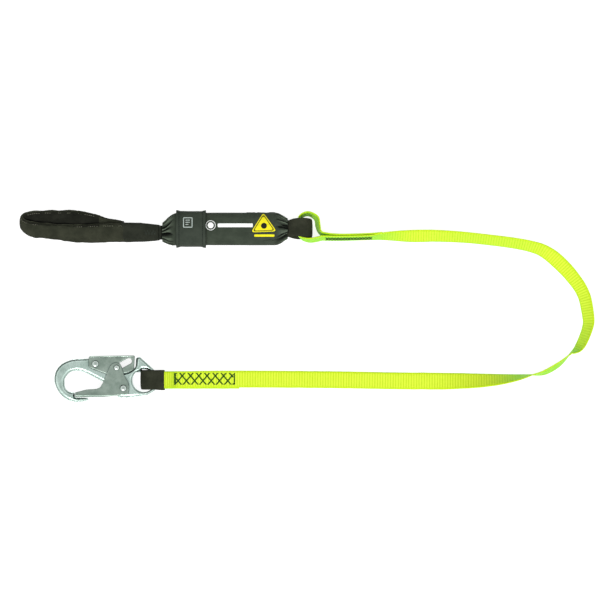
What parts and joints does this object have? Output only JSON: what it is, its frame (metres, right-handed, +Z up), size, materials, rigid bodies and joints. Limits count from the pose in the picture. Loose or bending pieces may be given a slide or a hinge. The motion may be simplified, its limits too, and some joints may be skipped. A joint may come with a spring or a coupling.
{
  "type": "shock absorbing lanyard",
  "caption": "Fall-protection lanyard: double-locking snap hook, flat webbing leg, tear-web energy absorber in a fabric cover with a label cuff, and a sleeved soft loop.",
  "frame": {"origin": "centre of the whole lanyard's outline on the surface it lies on", "axes": "+X along the pack from the soft loop towards the bend of the leg, +Y from the hook's leg towards the pack, +Z up from the surface it lies on"},
  "size_m": [0.859, 0.2872, 0.0404],
  "materials": {
    "pack_fabric": "matte woven cover cloth",
    "sleeve_fabric": "matte aramid sleeve cloth",
    "black_webbing": "matte woven webbing",
    "hi_vis_webbing": "ribbed woven webbing, slight sheen",
    "tear_webbing": "woven tear webbing",
    "stitch_thread": "bonded thread",
    "label_paper": "matte label stock",
    "zinc_forging": "zinc-plated forging, satin",
    "zinc_sheet": "zinc-plated pressed sheet, satin",
    "rivet_steel": "zinc-plated rivet, satin",
    "spring_steel": "spring wire"
  },
  "bodies": {
    "pack": {"pack_cover": "pack_fabric", "tear_ply_a": "tear_webbing", "tear_ply_b": "tear_webbing", "backup_webbing": "black_webbing", "absorber_loop_webbing": "black_webbing", "absorber_loop_sleeve": "sleeve_fabric"},
    "cuff": {"label_cuff": "pack_fabric", "label_booklet": "label_paper"},
    "soft_loop": {"soft_loop_webbing": "black_webbing", "soft_loop_sleeve": "sleeve_fabric", "soft_loop_neck_cover": "sleeve_fabric", "soft_loop_stitching": "stitch_thread"},
    "leg_upper": {"leg_webbing_upper": "hi_vis_webbing", "link_end_stitching": "stitch_thread"},
    "leg_lower": {"leg_webbing_lower": "hi_vis_webbing", "hook_end_sleeve": "sleeve_fabric", "hook_end_stitching": "stitch_thread"},
    "hook": {"hook_body": "zinc_forging", "gate_rivet": "rivet_steel", "lever_rivet": "rivet_steel", "gate_spring": "spring_steel", "lever_spring": "spring_steel"},
    "lever": {"lock_lever": "zinc_sheet"},
    "gate": {"gate": "zinc_sheet", "gate_stop_pin": "rivet_steel"}
  },
  "joints": [
    {"name": "cuff_slide", "type": "slide", "parent": "pack", "child": "cuff", "axis": [1, 0, 0], "range_m": [0, 0.045]},
    {"name": "soft_loop_lift", "type": "hinge", "parent": "pack", "child": "soft_loop", "pos_m": [-0.21995, 0.11, 0.017], "axis": [0, 1, 0], "range_deg": [0, 60]},
    {"name": "link_swing", "type": "hinge", "parent": "pack", "child": "leg_upper", "pos_m": [-0.00195, 0.116, 0.0154], "axis": [0, 0, 1], "range_deg": [-8, 8]},
    {"name": "leg_flex", "type": "hinge", "parent": "leg_upper", "child": "leg_lower", "pos_m": [0.39385, -0.0709, 0.0127], "axis": [0, 0, 1], "range_deg": [-6, 20]},
    {"name": "hook_swing", "type": "hinge", "parent": "leg_lower", "child": "hook", "pos_m": [-0.24515, -0.1113, 0.0116], "axis": [0, 0, 1], "range_deg": [-30, 30]},
    {"name": "lock_press", "type": "hinge", "parent": "hook", "child": "lever", "pos_m": [-0.31755, -0.0862, 0.0116], "axis": [0, 0, -1], "range_deg": [0, 9]},
    {"name": "gate_swing", "type": "hinge", "parent": "hook", "child": "gate", "pos_m": [-0.27555, -0.1227, 0.0116], "axis": [0, 0, -1], "range_deg": [0, 24]}
  ],
  "couplings": [
    {"joint": "gate_swing", "follows": "lock_press", "ratio": 2.66}
  ]
}
